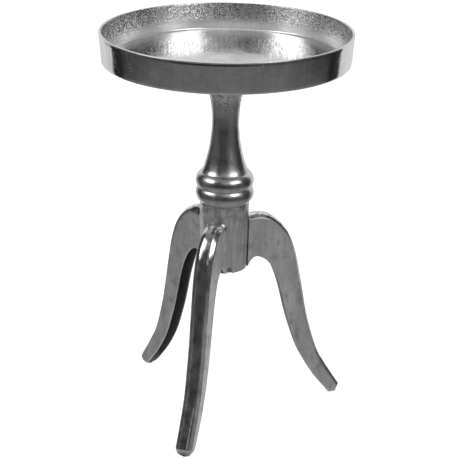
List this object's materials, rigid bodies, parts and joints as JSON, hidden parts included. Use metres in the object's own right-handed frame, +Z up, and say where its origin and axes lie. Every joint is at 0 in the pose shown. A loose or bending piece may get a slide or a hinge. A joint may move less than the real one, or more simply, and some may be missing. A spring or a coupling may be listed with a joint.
{
  "type": "tray table",
  "caption": "Round cast-metal tray table: straight-walled tray on a turned column with ring beads and a hub with curved splayed legs.",
  "frame": {"origin": "on the floor, under the middle of the column", "axes": "+Z up along the column; the front leg points along -Y"},
  "size_m": [0.4, 0.407, 0.65],
  "materials": {
    "polished_cast": "polished cast aluminium with fine casting pits",
    "satin_cast": "satin cast aluminium, brighter along the worn edges",
    "plated_steel": "zinc-plated steel hardware",
    "black_rubber": "matte black rubber"
  },
  "bodies": {
    "root": {"tray_pan": "polished_cast", "tray_flange": "plated_steel", "flange_screw_1": "plated_steel", "flange_screw_2": "plated_steel", "flange_screw_3": "plated_steel", "flange_screw_4": "plated_steel", "column_spindle": "polished_cast", "leg_hub": "satin_cast", "tie_rod": "plated_steel", "tie_rod_plate_washer": "plated_steel", "tie_rod_lock_washer": "plated_steel", "tie_rod_nut": "plated_steel", "leg_front": "satin_cast", "leg_right": "satin_cast", "leg_left": "satin_cast", "foot_pad_front": "black_rubber", "foot_pad_right": "black_rubber", "foot_pad_left": "black_rubber", "leg_bolt_front_upper": "plated_steel", "leg_bolt_front_lower": "plated_steel", "leg_bolt_right_upper": "plated_steel", "leg_bolt_right_lower": "plated_steel", "leg_bolt_left_upper": "plated_steel", "leg_bolt_left_lower": "plated_steel", "leg_washer_front_upper": "plated_steel", "leg_washer_front_lower": "plated_steel", "leg_washer_right_upper": "plated_steel", "leg_washer_right_lower": "plated_steel", "leg_washer_left_upper": "plated_steel", "leg_washer_left_lower": "plated_steel"}
  },
  "joints": []
}
